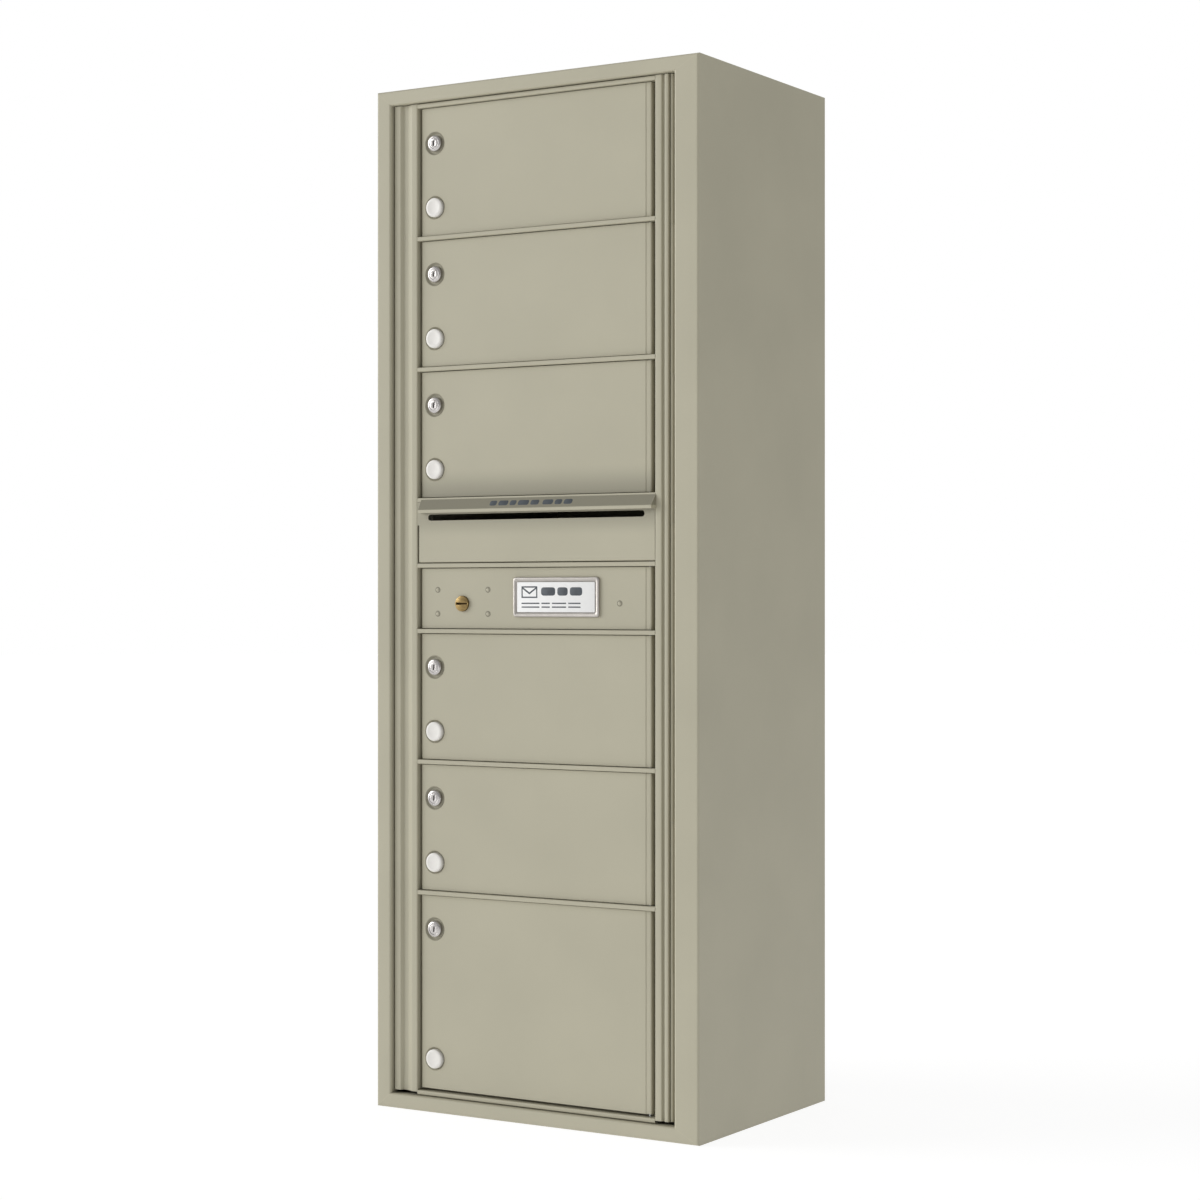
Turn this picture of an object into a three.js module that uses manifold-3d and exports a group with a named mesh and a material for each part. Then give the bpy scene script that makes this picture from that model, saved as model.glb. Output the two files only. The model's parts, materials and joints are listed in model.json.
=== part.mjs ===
// A single-column cluster mailbox unit: an outer case, an inner cabinet with shelves, and a hinged
// master door that carries six tenant doors, an outgoing-mail slot and the mail carrier's lock.
//
// Millimetres, +Z up. The origin is at the middle of the bounding box, at floor level. The front
// faces -Y. Most places are given as a carpenter would measure them on the closed unit: across from
// the case's left side, back from the front face of the case's border, and up from the floor.

import * as THREE from 'three';
import { mergeVertices } from 'three/addons/utils/BufferGeometryUtils.js';
import Module from 'manifold-3d';

// ---- Driving dimensions ----

const caseWide = 507;
const caseDeep = 355;
const caseHigh = 1390;
const caseSheet = 2;
const caseBend = 2.2; // radius of the sheet's middle line at a fold
const caseArcSteps = 5;
const border = { left: 23.5, right: 36.5, ends: 20 }; // flat border round the front opening
const borderReturn = 16; // the border folds back inside the opening, this deep

const pitch = 88.9; // one compartment unit, 3.5 inches
const units = 15;
const gridLift = 1.3; // the grid of doors stands this much above the case's middle
const doorSpans = [[0, 2], [2, 4], [4, 6], [8, 10], [10, 12], [12, 15]]; // grid lines, counted from the top
const mullionLines = [2, 4, 6, 7, 8, 10, 12];
const shelfLines = [2, 4, 6, 8, 10, 12];
const mailUnit = [6, 7];
const lockUnit = [7, 8];

const doorSheet = 1.5;
const frameSheet = 1.4;
const frameBend = 1;
const mullionBend = 0.8;
const panelBend = 1.4;
const cabinetBend = 1.2;

// How far back each layer lies from the face of the case's border.
const frameFace = 6; // stiles, rails, mullions and the outgoing-mail panel
const doorFace = 11;
const doorBack = 23;
const stopFace = 24;
const stileBack = 28;
const cabinetFace = 36;
const hoodProud = 4; // the hood's lip, in front of the border

// Across, from a line this far inside the case's left side.
const datumInset = 3.5;
const leftStile = {
  outer: 21.8, coveStart: 31.8, coveFloor: [34.8, 42.5], coveEnd: 51.5, inner: 60.3, lip: 8.5,
};
const coveDeep = 4;
const rightStile = { inner: 435.4, groove: [444.6, 450.4], outer: 455.5, returnBack: 23 };
const grooveDeep = 3.5;
const grooveSlope = 1; // the groove's walls lean in by this much
const door = { left: 62.2, crease: 418.5, right: 427.2 };
const doorBends = { left: 3.6, crease: 1, right: 1.2 };
const creaseDeep = 0.7;
const hingeEdgeDeep = 7.5; // the flange on a pan's hinge side
const panLip = { from: 65.2, to: 414.5, front: 11.6 }; // the folded lips along a pan's top and bottom
const masterGap = 1; // round the master door's ends
const mullionHalf = 3;
const doorGap = 1; // between a door and the mullion's crown
const stopWide = 11; // half the width across a mullion's stops
const railHigh = 6;
const stileFootGap = 3.5; // the stiles stop short of the bottom rail's edge

const tenantHinge = { across: 423, back: 16, rod: 1.5, bore: 1.62, barrel: 3 };
const masterHinge = {
  across: 458.5, back: 11.5, rod: 1.2, bore: 1.32, barrel: 2.5, knuckles: 7, gap: 0.4, leaf: 1.6, web: 1,
};

const lock = {
  across: 86, below: 49, face: 10.8, chamfer: 1, barrel: 9, hole: 9.2, back: 28.2,
  plug: 7, plugBore: 7.15, proud: 3, plugSunk: 0.4,
};
const cam = { wide: 11, thick: 2, long: 33, back: 29.4 };
const keySlot = { wide: 2.2, high: 8, deep: 3 };
const disc = { above: 41.5, radius: 13, thick: 6 };
const dimple = { radius: 16.2, floorRadius: 13.5, deep: 2.6, wall: 1.5 };

// The slot's middle line and the plug's centre lie this far below the grid line over them.
const slot = { left: 78, right: 420, high: 8.4, below: 23.9 };
const mailNotch = { wide: 3.2, below: 6 }; // a clearance beside the left stile, under the slot
const hood = { left: 67, right: 437, taper: 1.5, roofFrom: 559.5, lipFrom: 574, lipTo: 578.2, sheet: 1.3 };

const carrierLock = {
  across: 132, below: 51.7, plug: 10.5, plugBore: 10.7, slotWide: 1.9, slotLong: 17, slotDeep: 1.4,
  proud: 3, plugBack: 27.6, boreBack: 28,
};
const carrierCase = { wide: 64, high: 46, back: 34.5 };
const bolt = { high: 18, thick: 3, back: 30, tip: 57, tail: 104, clear: 0.3 };
const keeper = { from: 37, to: 49, high: 32, lipBack: 27.4, lipThick: 1.8, bend: 1.2 };
const plate = {
  left: 215, right: 349.5, high: 53, lift: 1.5, rim: 6.6, corner: 4, windowCorner: 1, proud: 3.2,
  cardThick: 1.4, cardBack: 1.2,
};

const cabinetSheet = 1.5;
const cabinetInner = [64.4, 434];
const jamb = [22, masterHinge.across + masterHinge.barrel];
const shelfLip = 10;
const shelfSetBack = 2; // the shelves' lips stand behind the cabinet's front
const mountHole = { radius: 4.5, across: 143.5, ends: 120 };

// ---- Places ----

const frontY = -(caseDeep + hoodProud) / 2 + hoodProud;
const caseSpan = [-datumInset, caseWide - datumInset];
const across = distance => distance + datumInset - caseWide / 2;
const back = distance => frontY + distance;
const down = distance => caseHigh - distance;
const gridMargin = (caseHigh - units * pitch) / 2 - gridLift;
const gridLine = number => down(gridMargin + number * pitch);

const masterTop = caseHigh - border.ends - masterGap;
const masterBottom = border.ends + masterGap;
const ROUND = 24; // sides of the round pieces that show
const FINE = 12; // sides of rods, knuckles and hidden rounds
const past = 1; // how far a cut runs beyond the face that it opens

// ---- Making solids ----

const wasm = await Module();
wasm.setup();

function solidOf(geometry) {
  const bare = geometry.clone();
  bare.deleteAttribute('normal');
  bare.deleteAttribute('uv');
  const merged = mergeVertices(bare);
  return new wasm.Manifold(new wasm.Mesh({
    numProp: 3,
    vertProperties: merged.attributes.position.array,
    triVerts: Uint32Array.from(merged.index.array),
  }));
}

function geometryOf(solid) {
  const mesh = solid.getMesh();
  const geometry = new THREE.BufferGeometry();
  geometry.setAttribute('position', new THREE.BufferAttribute(mesh.vertProperties, 3));
  geometry.setIndex(new THREE.BufferAttribute(mesh.triVerts, 1));
  geometry.computeVertexNormals();
  return geometry;
}

const join = (first, ...others) => others.reduce((whole, other) => whole.add(solidOf(other)), first);
const cut = (first, ...others) => others.reduce((whole, other) => whole.subtract(solidOf(other)), first);

// A block between two values each of across, back and height.
function block([x0, x1], [y0, y1], [z0, z1]) {
  return new THREE.BoxGeometry(x1 - x0, y1 - y0, z1 - z0)
    .translate(across((x0 + x1) / 2), back((y0 + y1) / 2), (z0 + z1) / 2);
}

// A prism upwards: its outline's points are [across, back].
function prismUp(outline, [z0, z1]) {
  const shape = new THREE.Shape(outline.map(([x, y]) => new THREE.Vector2(across(x), back(y))));
  return new THREE.ExtrudeGeometry(shape, { depth: z1 - z0, bevelEnabled: false }).translate(0, 0, z0);
}

// A prism sideways: its outline's points are [back, height].
function prismAcross(outline, [x0, x1]) {
  const shape = new THREE.Shape(outline.map(([y, z]) => new THREE.Vector2(back(y), z)));
  const sideways = new THREE.Matrix4().makeBasis(
    new THREE.Vector3(0, 1, 0), new THREE.Vector3(0, 0, 1), new THREE.Vector3(1, 0, 0));
  return new THREE.ExtrudeGeometry(shape, { depth: x1 - x0, bevelEnabled: false })
    .applyMatrix4(sideways).translate(across(x0), 0, 0);
}

// A prism through the front: its shape's points are [across, height], and it runs between two
// distances back.
function prismBack(shape, [y0, y1]) {
  const inwards = new THREE.Matrix4().makeBasis(
    new THREE.Vector3(1, 0, 0), new THREE.Vector3(0, 0, 1), new THREE.Vector3(0, -1, 0));
  return new THREE.ExtrudeGeometry(shape, { depth: y1 - y0, bevelEnabled: false, curveSegments: 3 })
    .applyMatrix4(inwards).translate(0, back(y1), 0);
}

function rodUp(radius, x, y, [z0, z1], sides = FINE) {
  return new THREE.CylinderGeometry(radius, radius, z1 - z0, sides)
    .rotateX(Math.PI / 2).translate(across(x), back(y), (z0 + z1) / 2);
}

// A round bar through the front, or a cone if its front and back radii differ.
function rodBack(radius, x, z, [y0, y1], sides = ROUND, frontRadius = radius) {
  return new THREE.CylinderGeometry(radius, frontRadius, y1 - y0, sides)
    .translate(across(x), back((y0 + y1) / 2), z);
}

function roundedRectangle(x0, x1, z0, z1, radius) {
  const left = across(x0);
  const right = across(x1);
  const shape = new THREE.Shape();
  shape.moveTo(left + radius, z0);
  shape.lineTo(right - radius, z0);
  shape.absarc(right - radius, z0 + radius, radius, -Math.PI / 2, 0);
  shape.lineTo(right, z1 - radius);
  shape.absarc(right - radius, z1 - radius, radius, 0, Math.PI / 2);
  shape.lineTo(left + radius, z1);
  shape.absarc(left + radius, z1 - radius, radius, Math.PI / 2, Math.PI);
  shape.lineTo(left, z0 + radius);
  shape.absarc(left + radius, z0 + radius, radius, Math.PI, 1.5 * Math.PI);
  return shape;
}

// The outline of a folded sheet. The path is the sheet's middle line, and each of its corners
// becomes an arc, of the one bend radius or of its own from a list.
function foldedSheet(path, thickness, bends, arcSteps = 3) {
  const points = path.map(([u, v]) => new THREE.Vector2(u, v));
  const along = points.slice(1).map((point, i) => point.clone().sub(points[i]).normalize());
  const leftOf = direction => new THREE.Vector2(-direction.y, direction.x);
  const leftSide = [];
  const rightSide = [];
  const add = (point, normal) => {
    leftSide.push(point.clone().addScaledVector(normal, thickness / 2));
    rightSide.push(point.clone().addScaledVector(normal, -thickness / 2));
  };
  add(points[0], leftOf(along[0]));
  for (let i = 1; i < points.length - 1; i += 1) {
    const turn = Math.atan2(along[i - 1].cross(along[i]), along[i - 1].dot(along[i]));
    const bend = Array.isArray(bends) ? bends[i - 1] : bends;
    const side = Math.sign(turn) * bend;
    const start = points[i].clone().addScaledVector(along[i - 1], -bend * Math.tan(Math.abs(turn) / 2));
    const centre = start.clone().addScaledVector(leftOf(along[i - 1]), side);
    for (let step = 0; step <= arcSteps; step += 1) {
      const normal = leftOf(along[i - 1]).rotateAround(new THREE.Vector2(), turn * step / arcSteps);
      add(centre.clone().addScaledVector(normal, -side), normal);
    }
  }
  add(points.at(-1), leftOf(along.at(-1)));
  return [...leftSide, ...rightSide.reverse()].map(point => [point.x, point.y]);
}

// ---- Finishes ----

function finish(color, roughness, metalness) {
  return new THREE.MeshStandardMaterial({ color, roughness, metalness });
}

const casePaint = finish(0xb8b3a1, 0.55, 0);
const doorPaint = finish(0xb6b09c, 0.55, 0);
const innerPaint = finish(0xaaa593, 0.6, 0);
const zincSteel = finish(0xb9bbbd, 0.4, 0.9);
const lockChrome = finish(0xd6d6d6, 0.25, 1);
const brassMetal = finish(0xc79a4a, 0.35, 1);
const whitePlastic = finish(0xf0eeea, 0.5, 0);
const frameMetal = finish(0xcfccc4, 0.4, 0.5);

const unit = new THREE.Group();

function addPiece(name, shape, material, group = unit) {
  const geometry = shape.isBufferGeometry ? shape : geometryOf(shape);
  const mesh = new THREE.Mesh(geometry, material);
  mesh.name = name;
  group.add(mesh);
  return mesh;
}

// ---- The outer case ----

// The section of one side of the case: a sheet whose front edge folds in as the border, and then
// back again inside the opening. The outline's points are [in, back].
function caseSection(borderWide) {
  const half = caseSheet / 2;
  const path = [[half, caseDeep], [half, half], [borderWide - half, half], [borderWide - half, borderReturn]];
  return foldedSheet(path, caseSheet, caseBend, caseArcSteps);
}

// A side of the case. Its ends are mitred, so that four sides close round the opening.
function caseSide(borderWide, endBorder, length) {
  const outline = caseSection(borderWide);
  const shape = new THREE.Shape(outline.map(([u, v]) => new THREE.Vector2(u, v)));
  const geometry = new THREE.ExtrudeGeometry(shape, { depth: length, bevelEnabled: false });
  const position = geometry.attributes.position;
  for (let i = 0; i < position.count; i += 1) {
    const mitre = position.getX(i) * endBorder / borderWide;
    position.setZ(i, position.getZ(i) > length / 2 ? length - mitre : mitre);
  }
  return geometry;
}

// Turns a case side so that its own [in, back, along] axes lie along the given directions.
function placeSide(geometry, inwards, along, corner) {
  const basis = new THREE.Matrix4().makeBasis(inwards, new THREE.Vector3(0, 1, 0), along);
  geometry.applyMatrix4(basis).translate(...corner);
  return geometry;
}

function addCase() {
  const right = new THREE.Vector3(1, 0, 0);
  const up = new THREE.Vector3(0, 0, 1);
  const left = right.clone().negate();
  const downwards = up.clone().negate();
  const low = -caseWide / 2;
  const high = caseWide / 2;
  const leftSide = caseSide(border.left, border.ends, caseHigh);
  const rightSide = caseSide(border.right, border.ends, caseHigh);
  addPiece('case_left_side', placeSide(leftSide, right, up, [low, frontY, 0]), casePaint);
  addPiece('case_right_side', placeSide(rightSide, left, downwards, [high, frontY, caseHigh]), casePaint);
  addPiece('case_top', crossSide(downwards, caseHigh), casePaint);
  addPiece('case_bottom', crossSide(up, 0), casePaint);
  const sheetRim = [caseSpan[0] + caseSheet, caseSpan[1] - caseSheet];
  const panel = block(sheetRim, [caseDeep - caseSheet, caseDeep], [caseSheet, caseHigh - caseSheet]);
  const holes = [];
  for (const x of [caseSpan[0] + mountHole.across, caseSpan[1] - mountHole.across]) {
    for (const z of [mountHole.ends, caseHigh - mountHole.ends]) {
      holes.push(rodBack(mountHole.radius, x, z, [caseDeep - 2 * caseSheet, caseDeep + caseSheet], FINE));
    }
  }
  addPiece('case_back_panel', cut(solidOf(panel), ...holes), casePaint);
}

// The top or the bottom of the case. Its mitres meet the two sides, whose borders differ in width.
function crossSide(inwards, z) {
  const outline = caseSection(border.ends);
  const up = inwards.z;
  const placed = outline.map(([inward, behind]) => [behind, z + up * inward]);
  const geometry = prismAcross(up > 0 ? placed : placed.reverse(), caseSpan);
  const position = geometry.attributes.position;
  for (let i = 0; i < position.count; i += 1) {
    const inward = Math.abs(position.getZ(i) - z);
    const onLeft = position.getX(i) < 0;
    const mitre = inward * (onLeft ? border.left : border.right) / border.ends;
    position.setX(i, onLeft ? across(caseSpan[0] + mitre) : across(caseSpan[1] - mitre));
  }
  return geometry;
}

// ---- The inner cabinet ----

function addCabinet() {
  const half = cabinetSheet / 2;
  const upright = [caseSheet, caseHigh - caseSheet];
  const rear = caseDeep - caseSheet;
  const wall = (jambEdge, face) => {
    const path = [[jambEdge, cabinetFace + half], [face, cabinetFace + half], [face, rear]];
    return prismUp(foldedSheet(path, cabinetSheet, cabinetBend), upright);
  };
  addPiece('cabinet_left_wall', wall(jamb[0], cabinetInner[0] - half), innerPaint);
  addPiece('cabinet_right_wall', wall(jamb[1], cabinetInner[1] + half), innerPaint);
  shelfLines.forEach((number, i) => {
    const z = gridLine(number);
    const front = cabinetFace + shelfSetBack + half;
    const path = [[front, z - shelfLip], [front, z - half], [rear, z - half]];
    const outline = foldedSheet(path, cabinetSheet, cabinetBend);
    addPiece(`shelf_${i + 1}`, prismAcross(outline, cabinetInner), innerPaint);
  });
}

// ---- The master door's frame ----

function addStiles() {
  const half = frameSheet / 2;
  const front = frameFace + half;
  const [floorFrom, floorTo] = leftStile.coveFloor;
  const upright = [masterBottom + stileFootGap, masterTop];
  const left = foldedSheet([
    [leftStile.outer + half, stileBack],
    [leftStile.outer + half, front],
    [leftStile.coveStart, front],
    [floorFrom, front + coveDeep],
    [floorTo, front + coveDeep],
    [leftStile.coveEnd, front],
    [leftStile.inner - half, front],
    [leftStile.inner - half, stileBack - half],
    [leftStile.inner - leftStile.lip, stileBack - half],
  ], frameSheet, frameBend);
  addPiece('left_stile', prismUp(left, upright), doorPaint);

  const floor = front + grooveDeep;
  const [grooveFrom, grooveTo] = rightStile.groove;
  const right = foldedSheet([
    [rightStile.inner + leftStile.lip, stileBack - half],
    [rightStile.inner + half, stileBack - half],
    [rightStile.inner + half, front],
    [grooveFrom, front],
    [grooveFrom + grooveSlope, floor],
    [grooveTo - grooveSlope, floor],
    [grooveTo, front],
    [rightStile.outer - half, front],
    [rightStile.outer - half, rightStile.returnBack],
  ], frameSheet, frameBend, 2);
  const webAcross = [rightStile.outer - half, masterHinge.across];
  const webFront = masterHinge.back + masterHinge.web;
  const webBack = [webFront, webFront + masterHinge.barrel];
  const knuckles = masterKnuckles(0).map(span => knuckle(span, webAcross, webBack));
  const solid = knuckles.reduce((whole, part) => whole.add(part), solidOf(prismUp(right, upright)));
  addPiece('right_stile', solid, doorPaint);
}

// The heights of every other knuckle of the master hinge, starting from the given one.
function masterKnuckles(first) {
  const bottom = masterBottom + stileFootGap;
  const step = (masterTop - bottom) / masterHinge.knuckles;
  const spans = [];
  for (let i = first; i < masterHinge.knuckles; i += 2) {
    spans.push([bottom + i * step + masterHinge.gap / 2, bottom + (i + 1) * step - masterHinge.gap / 2]);
  }
  return spans;
}

// A rolled knuckle round the master hinge's pin, with the web that joins it to its leaf.
function knuckle(span, webAcross, webBack) {
  const { across: x, back: y, barrel, bore } = masterHinge;
  const tube = join(solidOf(rodUp(barrel, x, y, span)), block(webAcross, webBack, span));
  return cut(tube, rodUp(bore, x, y, [span[0] - past, span[1] + past]));
}

// The fixed leaf stands on the cabinet's front, and its flange covers the way to the case's border.
function addMasterHinge() {
  const { across: x, back: y, barrel, leaf, rod, gap, web } = masterHinge;
  const leafAcross = [x + barrel - leaf, x + barrel];
  const upright = [masterBottom + stileFootGap, masterTop];
  const leafFront = y + barrel + gap;
  const leafPlate = join(solidOf(block(leafAcross, [leafFront, cabinetFace], upright)),
    block([leafAcross[0], caseSpan[1] - border.right], [leafFront, leafFront + leaf], upright));
  const knuckles = masterKnuckles(1).map(span => knuckle(span, leafAcross, [y, y + barrel + web]));
  addPiece('master_hinge_leaf', knuckles.reduce((whole, part) => whole.add(part), leafPlate), doorPaint);
  addPiece('master_hinge_pin', rodUp(rod, x, y, upright), zincSteel);
}

// A mullion is a hat channel: a narrow crown in front, and a stop on each side for the doors to
// close against.
function hatOutline(z) {
  const half = frameSheet / 2;
  const side = mullionHalf - half;
  return foldedSheet([
    [stopFace + half, z - stopWide],
    [stopFace + half, z - side],
    [frameFace + half, z - side],
    [frameFace + half, z + side],
    [stopFace + half, z + side],
    [stopFace + half, z + stopWide],
  ], frameSheet, mullionBend, 2);
}

// A rail closes the top or bottom of the frame. Its inward side is the way to the doors, +1 up or
// -1 down.
function railOutline(outerEdge, inward) {
  const half = frameSheet / 2;
  const outer = outerEdge + inward * half;
  const inner = outerEdge + inward * (railHigh - half);
  return foldedSheet([
    [stopFace, outer],
    [frameFace + half, outer],
    [frameFace + half, inner],
    [stopFace + half, inner],
    [stopFace + half, inner + inward * (stopWide - mullionHalf)],
  ], frameSheet, mullionBend, 2);
}

const hingeHole = span => rodUp(tenantHinge.bore, tenantHinge.across, tenantHinge.back, span);

function addCrossPieces() {
  const between = [leftStile.inner, rightStile.inner];
  const addBar = (name, outline, z) => {
    const bar = solidOf(prismAcross(outline, between));
    const reach = railHigh + past;
    addPiece(name, cut(bar, hingeHole([z - reach, z + reach])), doorPaint);
  };
  addBar('top_rail', railOutline(masterTop, -1), masterTop);
  addBar('bottom_rail', railOutline(masterBottom, 1).reverse(), masterBottom);
  mullionLines.forEach((number, i) => {
    addBar(`mullion_${i + 1}`, hatOutline(gridLine(number)), gridLine(number));
  });
  const { rod, across: x, back: y } = tenantHinge;
  const rodEnds = [masterBottom + frameSheet, masterTop - frameSheet];
  addPiece('tenant_hinge_rod', rodUp(rod, x, y, rodEnds), zincSteel);
}

// ---- The outgoing-mail and lock panels ----

function addMailPanel() {
  const top = gridLine(mailUnit[0]) - mullionHalf;
  const bottom = gridLine(mailUnit[1]) + mullionHalf + doorGap;
  const middle = gridLine(mailUnit[0]) - slot.below;
  const half = slot.high / 2;
  const between = [leftStile.inner, rightStile.inner];
  const front = frameFace + doorSheet / 2;
  const outline = foldedSheet([
    [stopFace, bottom + doorSheet / 2],
    [front, bottom + doorSheet / 2],
    [front, top],
  ], doorSheet, panelBend);
  const endRadius = half - 0.01; // just short of meeting, so that the outline doesn't touch itself
  const opening = roundedRectangle(slot.left, slot.right, middle - half, middle + half, endRadius);
  const notchAcross = [leftStile.inner - past, leftStile.inner + mailNotch.wide];
  const panel = cut(solidOf(prismAcross(outline.reverse(), between)),
    prismBack(opening, [frameFace - past, frameFace + doorSheet + past]),
    block(notchAcross, [frameFace - past, stopFace + past], [bottom - past, middle - half - mailNotch.below]),
    hingeHole([bottom - past, bottom + doorSheet + past]));
  addPiece('outgoing_mail_panel', panel, doorPaint);
}

// The hood is a hollow wedge, open below and behind. Its ends slope in towards the lip.
function addHood() {
  const { roofFrom, lipFrom, lipTo, sheet } = hood;
  const slope = (lipFrom - roofFrom) / (frameFace + hoodProud);
  const wedge = (inset, ends) => {
    const front = -hoodProud + inset;
    const open = inset > 0 ? past : 0;
    const drop = inset * Math.hypot(1, slope); // the roof sheet's thickness, measured straight down
    const outline = [
      [frameFace + open, down(lipTo + open)],
      [front, down(lipTo + open)],
      [front, down(lipFrom - inset * slope + drop)],
      [frameFace + open, down(roofFrom - open * slope + drop)],
    ];
    const geometry = prismAcross(outline.reverse(), ends);
    const position = geometry.attributes.position;
    for (let i = 0; i < position.count; i += 1) {
      const proud = Math.max(0, back(frameFace) - position.getY(i)) / (frameFace + hoodProud);
      position.setX(i, position.getX(i) - Math.sign(position.getX(i)) * proud * hood.taper);
    }
    return geometry;
  };
  const shell = cut(solidOf(wedge(0, [hood.left, hood.right])),
    wedge(sheet, [hood.left + sheet, hood.right - sheet]));
  addPiece('outgoing_mail_hood', shell, doorPaint);
}

function addLockPanel() {
  const top = gridLine(lockUnit[0]) - mullionHalf - doorGap;
  const bottom = gridLine(lockUnit[1]) + mullionHalf + doorGap;
  const z = gridLine(lockUnit[0]) - carrierLock.below;
  const pan = panSolid(bottom, top, stopFace);
  const bore = rodBack(carrierLock.plugBore, carrierLock.across, z, [doorFace - past, doorBack]);
  addPiece('lock_panel', cut(pan, bore), doorPaint);
  addNoticePlate((top + bottom) / 2 + plate.lift);
}

// A white card in a raised frame, with its middle at the given height.
function addNoticePlate(middle) {
  const { left, right, rim, corner, windowCorner, proud, cardThick, cardBack } = plate;
  const low = middle - plate.high / 2;
  const high = middle + plate.high / 2;
  const outside = roundedRectangle(left, right, low, high, corner);
  const window = roundedRectangle(left + rim, right - rim, low + rim, high - rim, windowCorner);
  const front = doorFace - proud;
  const frame = cut(solidOf(prismBack(outside, [front, doorFace])),
    prismBack(window, [front - past, doorFace + past]));
  const cardFront = doorFace - cardBack - cardThick;
  addPiece('notice_plate_frame', frame, frameMetal);
  addPiece('notice_plate', prismBack(window, [cardFront, doorFace - cardBack]), whitePlastic);
}

// ---- The carrier's lock: case, plug, bolt and keeper ----

function addCarrierLock() {
  const z = gridLine(lockUnit[0]) - carrierLock.below;
  const { across: x, plug, plugBore, slotLong, slotWide, slotDeep } = carrierLock;
  const span = (middle, wide) => [middle - wide / 2, middle + wide / 2];
  const caseFrom = doorFace + doorSheet;
  const housing = block(span(x, carrierCase.wide), [caseFrom, carrierCase.back], span(z, carrierCase.high));
  const runway = block(
    [x - carrierCase.wide / 2 - past, bolt.tail + 2 * past],
    [bolt.back - bolt.clear, bolt.back + bolt.thick + bolt.clear],
    span(z, bolt.high + 2 * bolt.clear));
  const bore = rodBack(plugBore, x, z, [caseFrom - past, carrierLock.boreBack]);
  addPiece('carrier_lock_case', cut(solidOf(housing), bore, runway), zincSteel);

  const face = doorFace - carrierLock.proud;
  const screwSlot = block(span(x, slotLong), [face - past, face + slotDeep], span(z, slotWide));
  const plugSolid = cut(solidOf(rodBack(plug, x, z, [face, carrierLock.plugBack])), screwSlot);
  addPiece('carrier_lock_plug', plugSolid, brassMetal);

  const boltBack = [bolt.back, bolt.back + bolt.thick];
  addPiece('latch_bolt', block([bolt.tip, bolt.tail], boltBack, span(z, bolt.high)), zincSteel);

  const half = keeper.lipThick / 2;
  const outline = foldedSheet([
    [keeper.to, keeper.lipBack + half],
    [keeper.from + half, keeper.lipBack + half],
    [keeper.from + half, cabinetFace - half],
    [keeper.to, cabinetFace - half],
  ], keeper.lipThick, keeper.bend);
  addPiece('latch_keeper', prismUp(outline, span(z, keeper.high)), zincSteel);
}

// ---- The tenant doors ----

// A pan: a front sheet folded back at its four edges, with a crease near its right edge.
function panSolid(bottom, top, panBack) {
  const half = doorSheet / 2;
  const front = doorFace + half;
  const { left, crease, right } = door;
  const section = foldedSheet([
    [left + half, panBack],
    [left + half, front],
    [crease, front],
    [crease + creaseDeep, front + creaseDeep],
    [right - half, front + creaseDeep],
    [right - half, front + creaseDeep + hingeEdgeDeep],
  ], doorSheet, [doorBends.left, doorBends.crease, doorBends.crease, doorBends.right]);
  const lips = [[bottom, bottom + doorSheet], [top - doorSheet, top]].map(
    span => block([panLip.from, panLip.to], [panLip.front, panBack], span));
  return join(solidOf(prismUp(section.reverse(), [bottom, top])), ...lips);
}

function addDoor(number, [topLine, bottomLine]) {
  const gapAt = line => (line === 0 || line === units ? doorGap : mullionHalf + doorGap);
  const top = gridLine(topLine) - gapAt(topLine);
  const bottom = gridLine(bottomLine) + gapAt(bottomLine);
  const lockHeight = gridLine(topLine) - lock.below;
  const discHeight = gridLine(bottomLine) + disc.above;
  const barrelX = tenantHinge.across;
  const dimpleFloor = doorFace + dimple.deep;
  const flare = (dimple.radius - dimple.floorRadius) / dimple.deep;
  const dimples = [lockHeight, discHeight];
  const pan = join(panSolid(bottom, top, doorBack),
    rodUp(tenantHinge.barrel, barrelX, tenantHinge.back, [bottom, top]),
    ...dimples.map(z => rodBack(dimple.radius + dimple.wall, lock.across, z,
      [doorFace + doorSheet / 2, dimpleFloor + dimple.wall], FINE)));
  const holed = cut(pan,
    hingeHole([bottom - past, top + past]),
    ...dimples.map(z => rodBack(dimple.floorRadius, lock.across, z, [doorFace - past, dimpleFloor], ROUND,
      dimple.radius + flare * past)),
    rodBack(lock.hole, lock.across, lockHeight, [doorFace, doorBack]));
  addPiece(`door_${number}`, holed, doorPaint);
  addPiece(`number_disc_${number}`,
    rodBack(disc.radius, lock.across, discHeight, [dimpleFloor - disc.thick, dimpleFloor]), whitePlastic);
  addLock(number, lockHeight, dimpleFloor);
}

// A cam lock: a flanged housing in the door, and a plug through it that carries the cam.
function addLock(number, z, seat) {
  const { across: x, barrel, chamfer, plug, plugBore } = lock;
  const face = doorFace - lock.proud;
  const profile = [
    [plugBore, face],
    [lock.face - chamfer, face],
    [lock.face, face + chamfer],
    [lock.face, seat],
    [barrel, seat],
    [barrel, lock.back],
    [plugBore, lock.back],
    [plugBore, face],
  ].map(([radius, y]) => new THREE.Vector2(radius, y));
  const housing = new THREE.LatheGeometry(profile, ROUND).translate(across(x), back(0), z);
  addPiece(`lock_housing_${number}`, housing, lockChrome);

  const camBack = [cam.back, cam.back + cam.thick];
  const camAcross = [x - cam.wide / 2, x + cam.wide / 2];
  const keyway = block([x - keySlot.wide / 2, x + keySlot.wide / 2], [face - past, face + keySlot.deep],
    [z - keySlot.high / 2, z + keySlot.high / 2]);
  const barrelSolid = solidOf(rodBack(plug, x, z, [face + lock.plugSunk, camBack[1]]));
  const withCam = join(barrelSolid, block(camAcross, camBack, [z - cam.long, z + cam.wide / 2]));
  addPiece(`lock_plug_${number}`, cut(withCam, keyway), lockChrome);
}

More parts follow.
